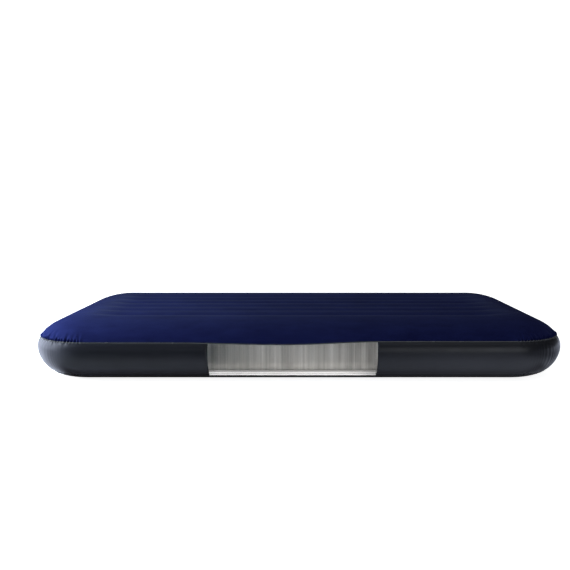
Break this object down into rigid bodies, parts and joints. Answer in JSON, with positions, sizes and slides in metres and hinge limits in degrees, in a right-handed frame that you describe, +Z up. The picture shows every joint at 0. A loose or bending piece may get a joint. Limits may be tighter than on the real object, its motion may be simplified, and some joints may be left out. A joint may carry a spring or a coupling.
{
  "type": "air mattress",
  "caption": "Long low inflatable mattress with rounded edges, a flocked ridged top, a seamed side wall with a see-through section, upright fibre walls inside and a capped plug valve.",
  "frame": {"origin": "middle of the underside, on the floor", "axes": "+X from the foot end (valve) to the head end, +Y from the near long side (window) to the far one, +Z up"},
  "size_m": [1.9274, 0.9898, 0.22],
  "materials": {
    "flocked_top": "flocked velvet",
    "wall_vinyl": "semi-gloss",
    "clear_vinyl": "clear, soft gloss",
    "bottom_vinyl": "satin",
    "fibre_yarn": "fine upright yarns",
    "weld_strip": "satin",
    "valve_body": "satin",
    "valve_plug": "satin",
    "valve_cap": "satin",
    "seal_rubber": "matte",
    "pin_plastic": "satin",
    "flap_plastic": "satin"
  },
  "bodies": {
    "mattress": {"top_panel": "flocked_top", "side_wall": "wall_vinyl", "side_window": "clear_vinyl", "bottom_panel": "bottom_vinyl", "fibre_wall_1": "fibre_yarn", "fibre_wall_2": "fibre_yarn", "fibre_wall_3": "fibre_yarn", "fibre_wall_4": "fibre_yarn", "fibre_wall_5": "fibre_yarn", "fibre_wall_6": "fibre_yarn", "fibre_wall_7": "fibre_yarn", "top_strip_1": "weld_strip", "top_strip_2": "weld_strip", "top_strip_3": "weld_strip", "top_strip_4": "weld_strip", "top_strip_5": "weld_strip", "top_strip_6": "weld_strip", "top_strip_7": "weld_strip", "bottom_strip_1": "weld_strip", "bottom_strip_2": "weld_strip", "bottom_strip_3": "weld_strip", "bottom_strip_4": "weld_strip", "bottom_strip_5": "weld_strip", "bottom_strip_6": "weld_strip", "bottom_strip_7": "weld_strip", "valve_base": "valve_body", "plug_tether": "valve_plug"},
    "plug": {"valve_plug": "valve_plug", "plug_seal": "seal_rubber", "flap_pin": "pin_plastic", "cap_strap": "valve_cap"},
    "flap": {"check_flap": "flap_plastic"},
    "cap": {"inflation_cap": "valve_cap", "cap_gasket": "seal_rubber"}
  },
  "joints": [
    {"name": "plug_pull", "type": "slide", "parent": "mattress", "child": "plug", "axis": [-1, 0, 0], "range_m": [0, 0.03], "deforming": ["plug_tether"]},
    {"name": "cap_hinge", "type": "hinge", "parent": "plug", "child": "cap", "pos_m": [-0.965, 0.15, 0.122], "axis": [0, 1, 0], "range_deg": [0, 130]},
    {"name": "flap_hinge", "type": "hinge", "parent": "plug", "child": "flap", "pos_m": [-0.9374, 0.15, 0.1173], "axis": [0, -1, 0], "range_deg": [0, 50], "stiffness_Nm_per_rad": 0.0001, "springref_deg": -11.46}
  ]
}
